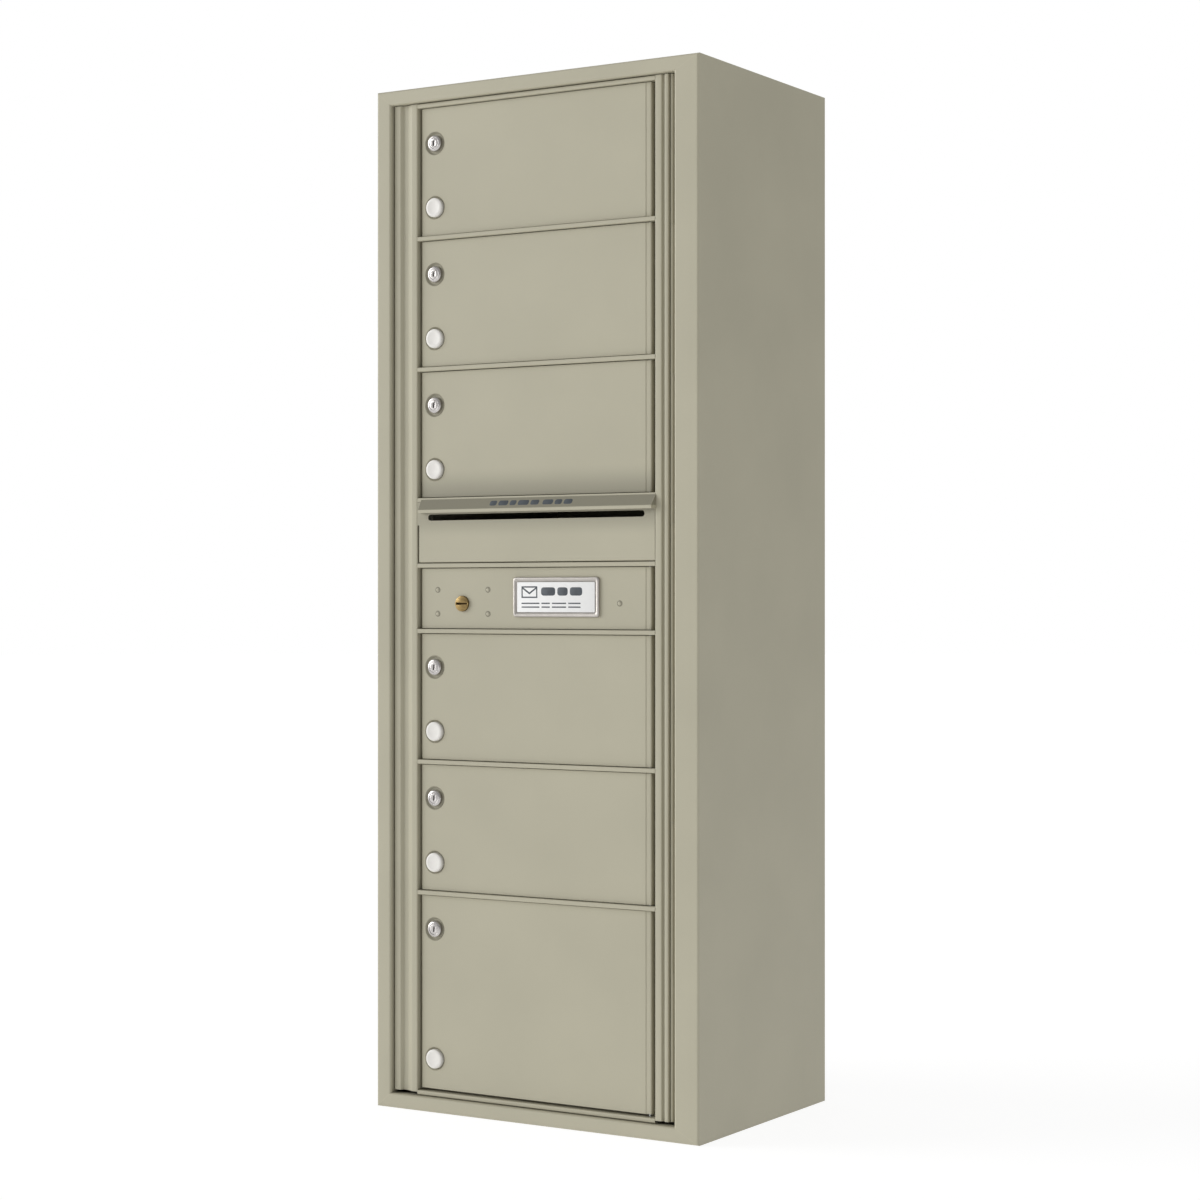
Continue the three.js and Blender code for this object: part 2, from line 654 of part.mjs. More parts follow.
addCase();
addCabinet();
addStiles();
addMasterHinge();
addCrossPieces();
addMailPanel();
addHood();
addLockPanel();
addCarrierLock();
doorSpans.forEach((span, i) => addDoor(i + 1, span));

export default unit;
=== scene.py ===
"""The looks of a single-column cluster mailbox unit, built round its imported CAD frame.

Metres, +Z up. The front faces -Y. Places come from the frame's own boxes, plus the few dimensions
named below. The rest pose is closed and unlocked.
"""
import json
import math

import bmesh
import bpy
from mathutils import Matrix, Vector


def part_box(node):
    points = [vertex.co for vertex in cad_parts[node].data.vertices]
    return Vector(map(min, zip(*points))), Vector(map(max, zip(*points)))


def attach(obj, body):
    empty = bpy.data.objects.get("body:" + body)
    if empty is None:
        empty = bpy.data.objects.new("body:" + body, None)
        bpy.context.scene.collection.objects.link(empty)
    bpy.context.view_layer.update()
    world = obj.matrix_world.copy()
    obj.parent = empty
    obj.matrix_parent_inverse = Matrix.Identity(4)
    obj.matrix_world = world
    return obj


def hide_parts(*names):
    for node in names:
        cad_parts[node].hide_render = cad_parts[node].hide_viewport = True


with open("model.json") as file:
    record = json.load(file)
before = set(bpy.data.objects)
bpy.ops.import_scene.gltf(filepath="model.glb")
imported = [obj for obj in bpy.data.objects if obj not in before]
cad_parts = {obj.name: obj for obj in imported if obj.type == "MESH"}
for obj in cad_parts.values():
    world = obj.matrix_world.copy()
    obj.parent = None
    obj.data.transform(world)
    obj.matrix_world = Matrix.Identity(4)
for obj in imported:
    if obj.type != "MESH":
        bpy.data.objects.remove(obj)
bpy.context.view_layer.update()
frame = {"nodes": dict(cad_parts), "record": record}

MM = 0.001
DOORS = range(1, 7)

# ---- Dimensions of the pieces made here ----

SEAT_BACK = 2.6 * MM  # from a door's face to the floor of its round recesses
RECESS_RADIUS = 16.2 * MM  # of those recesses, at the door's face
LOCK_PROUD = 3 * MM  # a lock's collar, in front of the door's face
LOCK_BARREL = 9 * MM  # radius of the part that passes through the door
CORE_THICK = 3 * MM
CAM_WIDE = 11 * MM
CAM_THICK = 2 * MM
PLUG_RADIUS = 7 * MM
KEYWAY_WIDE = 2.2 * MM
KEYWAY_HIGH = 7.4 * MM
HOOD_LIP = 4.2 * MM  # height of the hood's upright lip
HOOD_FOLD = 0.8 * MM  # the painted shade on the hood's roof comes in over this much above and below its fold
SHADE_ABOVE_HOOD = 40 * MM  # painted shade: the paint darkens towards the hood over these heights
SHADE_BELOW_SLOT = 26 * MM
SLOT_FOOT = 9 * MM  # the slot's lower edge, below the hood
HOOD_SHADE = 0.55  # how dark the painted shade makes the hood's roof
DOOR_SHADE = 0.64  # painted shade at the foot of the door over the hood
SLOT_SHADE = 0.78  # painted shade under the slot
RECESS_SHADE = 0.72  # painted shade in the round recesses
STUD_RADIUS = 2.9 * MM
STUD_RING = 4.1 * MM
STUD_PROUD = 1.2 * MM
STUD_ACROSS = 41 * MM  # from the carrier's plug to the studs at each side
STUD_UP = 16.2 * MM
STUD_MIDDLE = 2.5 * MM  # the four studs' middle, above the plug's
LONE_STUD = 47.7 * MM  # in from the lock panel's right edge
PLUG_GROOVE = (17.6 * MM, 2.4 * MM)
HOOD_MARKS = (11, 15, 10, 17, 13, 0, 16, 11, 13)  # lengths in mm, with 0 for a space
HOOD_MARK_HIGH = 8 * MM
HOOD_MARK_GAP = 3 * MM
HOOD_MARK_LEFT = 4 * MM  # the row's middle, left of the hood's
ENVELOPE = (25 * MM, 15.5 * MM)
ENVELOPE_LINE = 1.8 * MM
CARD_MARGIN = 7 * MM
CARD_TITLE_HIGH = 11 * MM
CARD_TITLE = ((22 * MM, 0), (16 * MM, 25.5 * MM), (19 * MM, 45 * MM))  # length and start of each bar
CARD_ROWS = (-8.2 * MM, -13.2 * MM)  # from the card's middle
CARD_LINE_HIGH = 1.7 * MM
CARD_LINE_GAP = 3.2 * MM
CARD_LINES = (0.28, 0.13, 0.22, 0.19)  # shares of the row's length
BACK_SCREW_INSET = 14 * MM
BACK_SCREW_ROWS = 7
ROUND = 64  # sides of the turned pieces


def middle(low, high):
    return (low + high) / 2


# ---- Camera, floor and light ----

CAMERA_YAW = math.radians(31.68)
CAMERA_PLACE = (1.883, -3.0545, 0.694)
CAMERA_LENS = 78.08

WORLD_HORIZON = 0.295
WORLD_ZENITH = 0.50
KEY_STRENGTH = 1.88
KEY_SPREAD = 34  # degrees across
KEY_HEIGHT = 14  # degrees above the horizon
KEY_SIDE = 62  # degrees to the left of the front
FLOOR_GLOW = 0.86
FLOOR_RADIUS = 30


def add_camera():
    data = bpy.data.cameras.new("camera")
    data.lens = CAMERA_LENS
    data.sensor_width = 36
    data.clip_end = 100
    camera = bpy.data.objects.new("camera", data)
    camera.location = CAMERA_PLACE
    camera.rotation_euler = (math.radians(90), 0, CAMERA_YAW)
    bpy.context.scene.collection.objects.link(camera)
    bpy.context.scene.camera = camera


def add_floor():
    shape = bmesh.new()
    bmesh.ops.create_circle(shape, cap_ends=True, segments=96, radius=FLOOR_RADIUS)
    floor = new_object("floor", shape)
    floor.location.z = -0.5 * MM
    material, nodes, links, shader = new_material("floor_white")
    shader.inputs["Base Color"].default_value = (0.25, 0.25, 0.25, 1)
    shader.inputs["Roughness"].default_value = 0.9
    shader.inputs["Specular IOR Level"].default_value = 0.1
    shader.inputs["Emission Color"].default_value = (1, 1, 1, 1)
    shader.inputs["Emission Strength"].default_value = FLOOR_GLOW
    floor.data.materials.append(material)


def add_light():
    """A soft dome, brighter overhead, and one broad key light from the front left."""
    world = bpy.data.worlds.new("studio")
    bpy.context.scene.world = world
    world.use_nodes = True
    nodes = world.node_tree.nodes
    links = world.node_tree.links
    nodes.clear()
    place = nodes.new("ShaderNodeTexCoord")
    split = nodes.new("ShaderNodeSeparateXYZ")
    links.new(place.outputs["Generated"], split.inputs[0])
    ramp = nodes.new("ShaderNodeMapRange")
    ramp.inputs["From Min"].default_value = 0
    ramp.inputs["From Max"].default_value = 1
    ramp.inputs["To Min"].default_value = WORLD_HORIZON
    ramp.inputs["To Max"].default_value = WORLD_ZENITH
    links.new(split.outputs["Z"], ramp.inputs["Value"])
    dome = nodes.new("ShaderNodeBackground")
    links.new(ramp.outputs["Result"], dome.inputs["Strength"])
    backdrop = nodes.new("ShaderNodeBackground")
    path = nodes.new("ShaderNodeLightPath")
    mix = nodes.new("ShaderNodeMixShader")
    output = nodes.new("ShaderNodeOutputWorld")
    links.new(path.outputs["Is Camera Ray"], mix.inputs[0])
    links.new(dome.outputs[0], mix.inputs[1])
    links.new(backdrop.outputs[0], mix.inputs[2])
    links.new(mix.outputs[0], output.inputs["Surface"])
    for background in (dome, backdrop):
        background.inputs["Color"].default_value = (1, 1, 1, 1)

    key = bpy.data.lights.new("key", "SUN")
    key.energy = KEY_STRENGTH
    key.angle = math.radians(KEY_SPREAD)
    lamp = bpy.data.objects.new("key", key)
    lamp.rotation_euler = (math.radians(90 - KEY_HEIGHT), 0, math.radians(-KEY_SIDE))
    bpy.context.scene.collection.objects.link(lamp)


# ---- Materials ----


def new_material(name):
    material = bpy.data.materials.new(name)
    material.use_nodes = True
    nodes = material.node_tree.nodes
    return material, nodes, material.node_tree.links, nodes["Principled BSDF"]


def noise(nodes, links, place, scale, detail=2, stretch=None):
    """Noise in the object's own coordinates, scale in grains per metre."""
    source = place.outputs["Object"]
    if stretch:
        mapping = nodes.new("ShaderNodeMapping")
        mapping.inputs["Scale"].default_value = stretch
        links.new(source, mapping.inputs["Vector"])
        source = mapping.outputs["Vector"]
    texture = nodes.new("ShaderNodeTexNoise")
    texture.inputs["Scale"].default_value = scale
    texture.inputs["Detail"].default_value = detail
    links.new(source, texture.inputs["Vector"])
    return texture.outputs["Fac"]


def spread(nodes, links, value, low, high):
    """Stretches a noise value, which stays near 0.5, to the range from low to high."""
    ramp = nodes.new("ShaderNodeMapRange")
    ramp.inputs["From Min"].default_value = 0.3
    ramp.inputs["From Max"].default_value = 0.7
    ramp.inputs["To Min"].default_value = low
    ramp.inputs["To Max"].default_value = high
    links.new(value, ramp.inputs["Value"])
    return ramp.outputs["Result"]


def blend_colours(nodes, links, share, first, second):
    """Mixes two colours, each a socket or a plain colour, by a socket's share."""
    mix = nodes.new("ShaderNodeMix")
    mix.data_type = "RGBA"
    links.new(share, mix.inputs["Factor"])
    for colour, socket in ((first, mix.inputs["A"]), (second, mix.inputs["B"])):
        if isinstance(colour, tuple):
            socket.default_value = (*colour, 1)
        else:
            links.new(colour, socket)
    return mix.outputs["Result"]


def scaled(colour, factor):
    return tuple(channel * factor for channel in colour)


def add_bump(nodes, links, shader, heights):
    """Chains bumps, given as (height socket, strength, depth in metres)."""
    normal = None
    for height, strength, depth in heights:
        bump = nodes.new("ShaderNodeBump")
        bump.inputs["Strength"].default_value = strength
        bump.inputs["Distance"].default_value = depth
        links.new(height, bump.inputs["Height"])
        if normal:
            links.new(normal, bump.inputs["Normal"])
        normal = bump.outputs["Normal"]
    links.new(normal, shader.inputs["Normal"])


def shade_by_height(nodes, links, place, paint, colour, shade):
    """Paints shade into paint between two heights in the object's own coordinates, given as (from, to,
    factor).

    The paint is untouched at the first height and has the full factor at the second and beyond.
    """
    start, end, factor = shade
    split = nodes.new("ShaderNodeSeparateXYZ")
    links.new(place.outputs["Object"], split.inputs[0])
    share = nodes.new("ShaderNodeMapRange")
    share.interpolation_type = "SMOOTHSTEP"
    share.inputs["From Min"].default_value = start
    share.inputs["From Max"].default_value = end
    links.new(split.outputs["Z"], share.inputs["Value"])
    return blend_colours(nodes, links, share.outputs["Result"], paint, scaled(colour, factor))


def shade_recess(nodes, links, place, paint, colour, centre):
    """Paints shade into paint inside a round recess, whose centre is given in the object's own coordinates.
    """
    offset = nodes.new("ShaderNodeVectorMath")
    offset.operation = "SUBTRACT"
    links.new(place.outputs["Object"], offset.inputs[0])
    offset.inputs[1].default_value = centre
    flat = nodes.new("ShaderNodeVectorMath")
    flat.operation = "MULTIPLY"
    links.new(offset.outputs["Vector"], flat.inputs[0])
    flat.inputs[1].default_value = (1, 0, 1)
    distance = nodes.new("ShaderNodeVectorMath")
    distance.operation = "LENGTH"
    links.new(flat.outputs["Vector"], distance.inputs[0])
    share = nodes.new("ShaderNodeMapRange")
    share.interpolation_type = "SMOOTHSTEP"
    share.inputs["From Min"].default_value = RECESS_RADIUS + 0.4 * MM
    share.inputs["From Max"].default_value = RECESS_RADIUS - 1 * MM
    links.new(distance.outputs["Value"], share.inputs["Value"])
    return blend_colours(nodes, links, share.outputs["Result"], paint, scaled(colour, RECESS_SHADE))


def powder_coat(name, colour, roughness=0.5, shade=None, recesses=()):
    """Baked powder paint: a fine orange-peel skin, a faint mottle, edges lightened by wear and a painted
    highlight, and corners darkened by dirt and painted shade.

    shade, the painted shade, is given to shade_by_height, and each centre in recesses to shade_recess, which
    paints shade there.
    """
    material, nodes, links, shader = new_material(name)
    place = nodes.new("ShaderNodeTexCoord")
    mottle = spread(nodes, links, noise(nodes, links, place, 7, 3), 0, 1)
    skin = noise(nodes, links, place, 620, 2)
    grain = noise(nodes, links, place, 2400, 1)
    paint = blend_colours(nodes, links, mottle, scaled(colour, 0.965), scaled(colour, 1.03))
    speckle = spread(nodes, links, grain, 0, 0.10)
    paint = blend_colours(nodes, links, speckle, paint, scaled(colour, 0.55))

    if shade:
        paint = shade_by_height(nodes, links, place, paint, colour, shade)
    for centre in recesses:
        paint = shade_recess(nodes, links, place, paint, colour, centre)

    # Edges are lightened: partly wear, partly a painted highlight where edges catch the light.
    edge = nodes.new("ShaderNodeBevel")
    edge.samples = 4
    edge.inputs["Radius"].default_value = 0.9 * MM
    shape = nodes.new("ShaderNodeNewGeometry")
    likeness = nodes.new("ShaderNodeVectorMath")
    likeness.operation = "DOT_PRODUCT"
    links.new(edge.outputs["Normal"], likeness.inputs[0])
    links.new(shape.outputs["Normal"], likeness.inputs[1])
    worn_and_highlit = nodes.new("ShaderNodeMapRange")
    worn_and_highlit.inputs["From Min"].default_value = 0.995
    worn_and_highlit.inputs["From Max"].default_value = 0.88
    worn_and_highlit.inputs["To Max"].default_value = 0.35
    links.new(likeness.outputs["Value"], worn_and_highlit.inputs["Value"])
    paint = blend_colours(nodes, links, worn_and_highlit.outputs["Result"], paint, scaled(colour, 1.28))

    # Corners, gaps and recesses are darkened by ambient occlusion: partly dirt, partly painted shade.
    corner = nodes.new("ShaderNodeAmbientOcclusion")
    corner.samples = 6
    corner.inputs["Distance"].default_value = 14 * MM
    dust_and_shade = nodes.new("ShaderNodeMapRange")
    dust_and_shade.inputs["From Min"].default_value = 0.75
    dust_and_shade.inputs["From Max"].default_value = 0.25
    dust_and_shade.inputs["To Max"].default_value = 0.22
    links.new(corner.outputs["AO"], dust_and_shade.inputs["Value"])
    grime_and_shade = (colour[0] * 0.5, colour[1] * 0.46, colour[2] * 0.42)
    paint = blend_colours(nodes, links, dust_and_shade.outputs["Result"], paint, grime_and_shade)

    links.new(paint, shader.inputs["Base Color"])
    links.new(spread(nodes, links, skin, roughness - 0.05, roughness + 0.06), shader.inputs["Roughness"])
    shader.inputs["Specular IOR Level"].default_value = 0.4
    add_bump(nodes, links, shader, [(skin, 0.22, 0.25 * MM), (grain, 0.12, 0.1 * MM)])
    return material


def machined_metal(name, colour, roughness, stretch, wear=0.8):
    """Bare or plated metal with fine tool lines and faint tarnish."""
    material, nodes, links, shader = new_material(name)
    place = nodes.new("ShaderNodeTexCoord")
    lines = noise(nodes, links, place, 900, 2, stretch)
    tarnish = spread(nodes, links, noise(nodes, links, place, 90, 4), 0, 1)
    tone = blend_colours(nodes, links, tarnish, colour, scaled(colour, wear))
    links.new(tone, shader.inputs["Base Color"])
    shader.inputs["Metallic"].default_value = 1
    links.new(spread(nodes, links, lines, roughness - 0.06, roughness + 0.08), shader.inputs["Roughness"])
    add_bump(nodes, links, shader, [(lines, 0.18, 0.05 * MM)])
    return material


def galvanised(name, colour):
    """Zinc plate with its pale spangle."""
    material, nodes, links, shader = new_material(name)
    place = nodes.new("ShaderNodeTexCoord")
    cells = nodes.new("ShaderNodeTexVoronoi")
    cells.inputs["Scale"].default_value = 220
    links.new(place.outputs["Object"], cells.inputs["Vector"])
    tone = nodes.new("ShaderNodeMapRange")
    tone.inputs["To Max"].default_value = 0.35
    links.new(cells.outputs["Distance"], tone.inputs["Value"])
    links.new(blend_colours(nodes, links, tone.outputs["Result"], colour, scaled(colour, 0.6)),
              shader.inputs["Base Color"])
    shader.inputs["Metallic"].default_value = 1
    fine = noise(nodes, links, place, 1100, 2)
    links.new(spread(nodes, links, fine, 0.36, 0.5), shader.inputs["Roughness"])
    add_bump(nodes, links, shader, [(fine, 0.15, 0.06 * MM)])
    return material


def moulded_plastic(name, colour, roughness, shade=0.9):
    """Plastic or card with a fine eggshell skin and slight yellowing."""
    material, nodes, links, shader = new_material(name)
    place = nodes.new("ShaderNodeTexCoord")
    cloud = spread(nodes, links, noise(nodes, links, place, 130, 3), 0, 1)
    links.new(blend_colours(nodes, links, cloud, colour, scaled(colour, shade)), shader.inputs["Base Color"])
    skin = noise(nodes, links, place, 1500, 2)
    links.new(spread(nodes, links, skin, roughness - 0.05, roughness + 0.08), shader.inputs["Roughness"])
    add_bump(nodes, links, shader, [(skin, 0.1, 0.05 * MM)])
    return material


PAINT = (0.455, 0.430, 0.325)
CASE_PAINT = powder_coat("case_powder_coat", PAINT)
DOOR_PAINT = powder_coat("door_powder_coat", PAINT)
INNER_PAINT = powder_coat("inner_powder_coat", scaled(PAINT, 0.85), 0.58)
ZINC = galvanised("zinc_plate", (0.56, 0.57, 0.58))
CHROME = machined_metal("lock_chrome", (0.60, 0.575, 0.56), 0.30, (1, 1, 1))
# Dark metal behind the keyway: painted shade in the keyway's slot.
KEYWAY_SHADE = machined_metal("keyway_painted_shade", (0.10, 0.09, 0.085), 0.5, (1, 1, 1))
BRASS = machined_metal("brass", (0.37, 0.26, 0.11), 0.32, (0.1, 1, 1), 0.6)
# Dark brass for the plug's body: painted shade in the carrier plug's groove.
BRASS_SHADE = machined_metal("brass_painted_shade", (0.07, 0.045, 0.02), 0.5, (0.1, 1, 1), 0.6)
# A thin dark ring of painted shade round each stud's head.
STUD_SHADE = powder_coat("stud_ring_painted_shade", scaled(PAINT, 0.5))
WHITE = moulded_plastic("white_plastic", (0.80, 0.78, 0.74), 0.42, 0.95)
CARD = moulded_plastic("card_white", (0.86, 0.86, 0.85), 0.5, 0.97)
INK = moulded_plastic("slate_ink", (0.055, 0.065, 0.075), 0.55, 1.4)
FRAME_METAL = machined_metal("plate_aluminium", (0.51, 0.483, 0.45), 0.45, (0.05, 1, 1), 0.9)

SLOT_MATERIALS = {
    "case_paint": CASE_PAINT,
    "door_paint": DOOR_PAINT,
    "inner_paint": INNER_PAINT,
    "zinc_steel": ZINC,
    "lock_chrome": CHROME,
    "brass": BRASS,
    "white_plastic": WHITE,
    "plate_metal": FRAME_METAL,
}

# ---- Making pieces ----


def new_object(name, shape):
    mesh = bpy.data.meshes.new(name)
    bmesh.ops.recalc_face_normals(shape, faces=shape.faces)
    shape.to_mesh(mesh)
    shape.free()
    piece = bpy.data.objects.new(name, mesh)
    bpy.context.scene.collection.objects.link(piece)
    return piece


def finish_piece(piece, body, material, stands_for=None, sharp=35):
    """Gives a piece its material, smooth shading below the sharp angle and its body."""
    piece.data.materials.append(material)
    for face in piece.data.polygons:
        face.use_smooth = True
    piece.data.set_sharp_from_angle(angle=math.radians(sharp))
    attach(piece, body)
    if stands_for:
        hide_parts(stands_for)
    return piece


def turned(name, profile, centre, sides=ROUND):
    """A closed piece turned about a line along +Y. The profile runs round as (radius, distance back)."""
    shape = bmesh.new()
    rings = []
    for radius, back in profile:
        if radius < 1e-9:
            rings.append([shape.verts.new((centre[0], centre[1] + back, centre[2]))])
            continue
        ring = []
        for step in range(sides):
            angle = 2 * math.pi * step / sides
            x = centre[0] + radius * math.cos(angle)
            z = centre[2] + radius * math.sin(angle)
            ring.append(shape.verts.new((x, centre[1] + back, z)))
        rings.append(ring)
    closed = profile[0][0] > 1e-9
    pairs = list(zip(rings, rings[1:] + rings[:1])) if closed else list(zip(rings, rings[1:]))
    for first, second in pairs:
        for step in range(sides):
            following = (step + 1) % sides
            corners = [first[step % len(first)], first[following % len(first)],
                       second[following % len(second)], second[step % len(second)]]
            corners = list(dict.fromkeys(corners))
            if len(corners) > 2:
                shape.faces.new(corners)
    return new_object(name, shape)


def rounded_outline(wide, high, radius, steps=6):
    """A rounded rectangle's points about its own middle, anticlockwise."""
    points = []
    corners = ((wide / 2 - radius, -high / 2 + radius, -90), (wide / 2 - radius, high / 2 - radius, 0),
               (-wide / 2 + radius, high / 2 - radius, 90), (-wide / 2 + radius, -high / 2 + radius, 180))
    for x, z, start in corners:
        for step in range(steps + 1):
            angle = math.radians(start + 90 * step / steps)
            points.append((x + radius * math.cos(angle), z + radius * math.sin(angle)))
    return points


def round_outline(radius, sides=ROUND):
    return [(radius * math.cos(2 * math.pi * i / sides), radius * math.sin(2 * math.pi * i / sides))
            for i in range(sides)]


def plate(name, outlines, thickness, edge, place):
    """A flat plate facing -Y with rounded edges. The first outline is its rim and the others are holes.

    place is a matrix that carries the plate, whose front lies at y = 0, to the row frame.
    """
    curve = bpy.data.curves.new(name, "CURVE")
    curve.dimensions = "2D"
    curve.fill_mode = "BOTH"
    curve.extrude = thickness / 2 - edge
    curve.bevel_depth = edge
    curve.bevel_resolution = 2
    curve.offset = -edge
    for outline in outlines:
        spline = curve.splines.new("POLY")
        spline.points.add(len(outline) - 1)
        for point, (x, z) in zip(spline.points, outline):
            point.co = (x, z, 0, 1)
        spline.use_cyclic_u = True
    holder = bpy.data.objects.new(name + "_outline", curve)
    bpy.context.scene.collection.objects.link(holder)
    graph = bpy.context.evaluated_depsgraph_get()
    mesh = bpy.data.meshes.new_from_object(holder.evaluated_get(graph))
    bpy.data.objects.remove(holder)
    bpy.data.curves.remove(curve)
    upright = Matrix.Rotation(math.radians(90), 4, "X")
    inwards = Matrix.Translation((0, thickness / 2, 0))
    mesh.transform(place @ inwards @ upright)
    shape = bmesh.new()
    shape.from_mesh(mesh)
    bpy.data.meshes.remove(mesh)
    bmesh.ops.remove_doubles(shape, verts=shape.verts, dist=1e-7)
    return new_object(name, shape)


def rim(name, outline_at, steps):
    """A closed ring of four-sided section. outline_at(inset) gives an outline; steps are (inset, y)."""
    shape = bmesh.new()
    loops = []
    for inset, y in steps:
        loops.append([shape.verts.new((x, y, z)) for x, z in outline_at(inset)])
    for first, second in zip(loops, loops[1:] + loops[:1]):
        count = len(first)
        for i in range(count):
            following = (i + 1) % count
            shape.faces.new((first[i], first[following], second[following], second[i]))
    return new_object(name, shape)


def shading_group():
    """Joins a CAD node's split corners and shades its gentle folds smoothly."""
    group = bpy.data.node_groups.new("fold_shading", "GeometryNodeTree")
    group.interface.new_socket("Geometry", in_out="INPUT", socket_type="NodeSocketGeometry")
    group.interface.new_socket("Geometry", in_out="OUTPUT", socket_type="NodeSocketGeometry")
    nodes = group.nodes
    links = group.links
    start = nodes.new("NodeGroupInput")
    end = nodes.new("NodeGroupOutput")
    weld = nodes.new("GeometryNodeMergeByDistance")
    weld.inputs["Distance"].default_value = 0.001 * MM
    faces = nodes.new("GeometryNodeSetShadeSmooth")
    faces.domain = "FACE"
    faces.inputs["Shade Smooth"].default_value = True
    edges = nodes.new("GeometryNodeSetShadeSmooth")
    edges.domain = "EDGE"
    angle = nodes.new("GeometryNodeInputMeshEdgeAngle")
    gentle = nodes.new("FunctionNodeCompare")
    gentle.operation = "LESS_THAN"
    gentle.inputs["B"].default_value = math.radians(32)
    links.new(angle.outputs["Unsigned Angle"], gentle.inputs["A"])
    links.new(start.outputs[0], weld.inputs["Geometry"])
    links.new(weld.outputs["Geometry"], faces.inputs["Geometry"])
    links.new(faces.outputs["Geometry"], edges.inputs["Geometry"])
    links.new(gentle.outputs["Result"], edges.inputs["Shade Smooth"])
    links.new(edges.outputs["Geometry"], end.inputs[0])
    return group


def shaded_paint(name, node):
    """The paint of the doors, with painted shade in their round recesses, and of the pieces near the hood,
    with painted shade there.
    """
    hood_low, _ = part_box("outgoing_mail_hood")
    lip_top = hood_low.z + HOOD_LIP
    door_low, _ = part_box("door_3")
    slot_foot = hood_low.z - SLOT_FOOT
    shades = {
        "outgoing_mail_hood": (lip_top - HOOD_FOLD, lip_top + HOOD_FOLD, HOOD_SHADE),
        "door_3": (door_low.z + SHADE_ABOVE_HOOD, door_low.z, DOOR_SHADE),
        "outgoing_mail_panel": (slot_foot - SHADE_BELOW_SLOT, slot_foot, SLOT_SHADE),
    }
    to_own = node.matrix_world.inverted()
    shade = None
    if name in shades:
        start, end, factor = shades[name]
        heights = [(to_own @ Vector((0, 0, z))).z for z in (start, end)]
        shade = (*heights, factor)
    recesses = []
    if name.startswith("door_"):
        number = name.removeprefix("door_")
        for filling in (f"lock_housing_{number}", f"number_disc_{number}"):
            low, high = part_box(filling)
            recesses.append(to_own @ ((low + high) / 2))
    if not shade and not recesses:
        return None
    return powder_coat(f"{name}_powder_coat", PAINT, shade=shade, recesses=recesses)


def finish_cad_nodes():
    """Gives every CAD node its material and clean shading."""
    group = shading_group()
    slots = {row["node"]: row["material_slot"] for row in frame["record"]["subparts"]}
    for name, node in frame["nodes"].items():
        material = shaded_paint(name, node) or SLOT_MATERIALS[slots[name]]
        node.data.materials.clear()
        node.data.materials.append(material)
        shading = node.modifiers.new("fold_shading", "NODES")
        shading.node_group = group
        node.modifiers.new("flat_faces", "WEIGHTED_NORMAL").keep_sharp = True


# ---- Locks and number discs on the tenant doors ----


def add_tenant_lock(number):
    low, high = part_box(f"lock_housing_{number}")
    face = low.y
    back = high.y - face
    centre = (middle(low.x, high.x), face, middle(low.z, high.z))
    outer = (high.x - low.x) / 2
    seat = SEAT_BACK + LOCK_PROUD
    barrel = LOCK_BARREL
    bore = PLUG_RADIUS + 0.15 * MM
    profile = [
        (bore, 0.5 * MM), (bore + 0.25 * MM, 0.12 * MM), (bore + 0.7 * MM, 0), (outer - 2 * MM, 0.32 * MM),
        (outer - 1.1 * MM, 0.62 * MM), (outer - 0.45 * MM, 1.02 * MM), (outer - 0.1 * MM, 1.5 * MM),
        (outer, 2.1 * MM), (outer, seat), (barrel, seat), (barrel, back), (bore, back),
    ]
    housing = turned(f"lock_collar_{number}", profile, centre)
    finish_piece(housing, f"tenant_door_{number}", CHROME, f"lock_housing_{number}")

    spring = [(barrel, 0), (barrel + 2.6 * MM, 0.2 * MM), (barrel + 2.6 * MM, 1.4 * MM), (barrel, 1.6 * MM)]
    clip_place = (centre[0], face + seat + 2.2 * MM, centre[2])
    clip = turned(f"lock_clip_{number}", spring, clip_place)
    finish_piece(clip, f"tenant_door_{number}", ZINC)

    plug_low, plug_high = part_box(f"lock_plug_{number}")
    plug_face = plug_low.y
    keyway = rounded_outline(KEYWAY_WIDE, KEYWAY_HIGH, 0.5 * MM, 3)
    keyway = [(x + (0.35 * MM if z > 1 * MM else 0), z) for x, z in keyway]
    place = Matrix.Translation((centre[0], plug_face, centre[2]))
    core = plate(f"lock_core_{number}", [round_outline(PLUG_RADIUS), keyway], CORE_THICK, 0.22 * MM, place)
    finish_piece(core, f"tenant_lock_{number}", CHROME, f"lock_plug_{number}")

    # The stem behind the core is dark: painted shade seen through the keyway.
    stem_front = plug_face + CORE_THICK
    stem_back = plug_high.y - stem_front
    stem_radius = PLUG_RADIUS - 0.1 * MM
    stem_profile = [(0, 0), (stem_radius, 0), (stem_radius, stem_back), (0, stem_back)]
    stem = turned(f"lock_stem_{number}", stem_profile, (centre[0], stem_front, centre[2]))
    finish_piece(stem, f"tenant_lock_{number}", KEYWAY_SHADE)

    cam_high = (centre[2] + CAM_WIDE / 2) - plug_low.z
    cam_place = Matrix.Translation((centre[0], plug_high.y - CAM_THICK, plug_low.z + cam_high / 2))
    cam_outline = rounded_outline(CAM_WIDE, cam_high, 4.5 * MM)
    cam = plate(f"lock_cam_{number}", [cam_outline], CAM_THICK, 0.3 * MM, cam_place)
    finish_piece(cam, f"tenant_lock_{number}", ZINC)
    nut_place = Matrix.Translation((centre[0], plug_high.y - 0.1 * MM, centre[2]))
    nut = plate(f"lock_nut_{number}", [round_outline(4.6 * MM, 6)], 2.6 * MM, 0.3 * MM, nut_place)
    finish_piece(nut, f"tenant_lock_{number}", ZINC)


